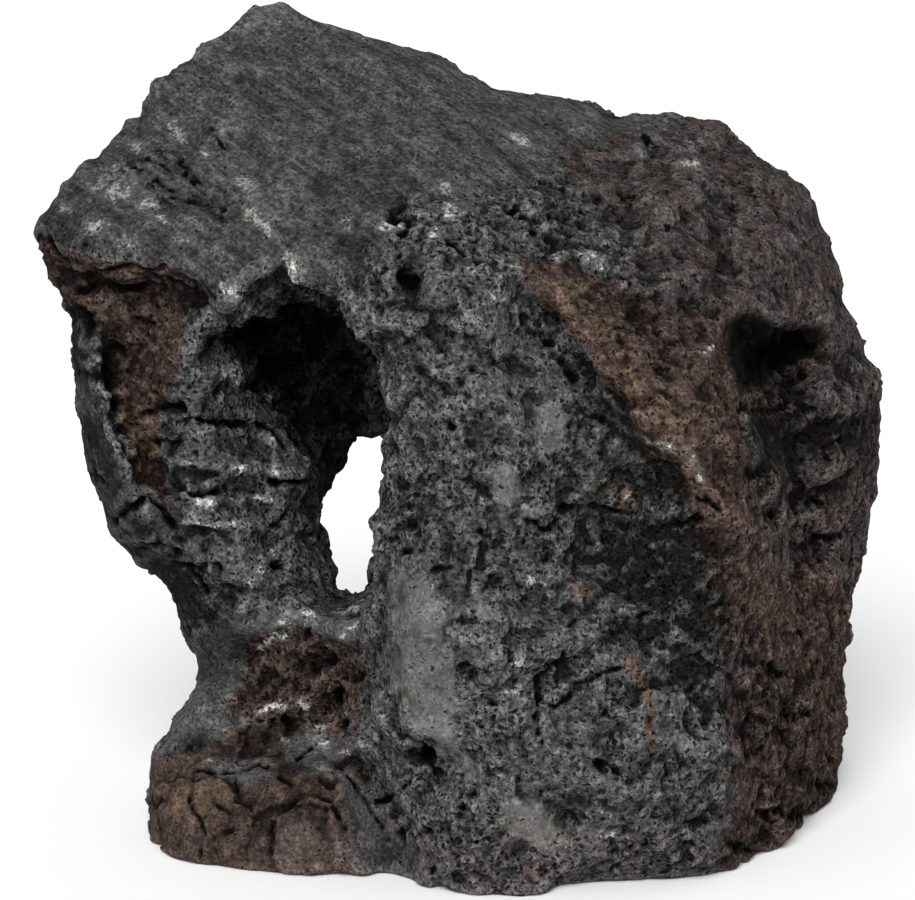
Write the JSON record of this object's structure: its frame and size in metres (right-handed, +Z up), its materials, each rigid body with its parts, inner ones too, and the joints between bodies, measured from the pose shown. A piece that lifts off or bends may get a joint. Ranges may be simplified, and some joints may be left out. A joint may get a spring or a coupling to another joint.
{
  "type": "lava rock",
  "caption": "Upright lump of dark vesicular lava with a cave and a see-through hole in its left side, a sloping top and a flat rest underneath.",
  "frame": {"origin": "centre of the bounding box, on the plane that the stone stands on", "axes": "+Z up, +X to the right as seen from the side with the cave, +Y from that side to the back"},
  "size_m": [0.2126, 0.1462, 0.2031],
  "materials": {
    "lava": "rough, matt, full of small gas pores"
  },
  "bodies": {
    "root": {"lava_rock": "lava"}
  },
  "joints": []
}
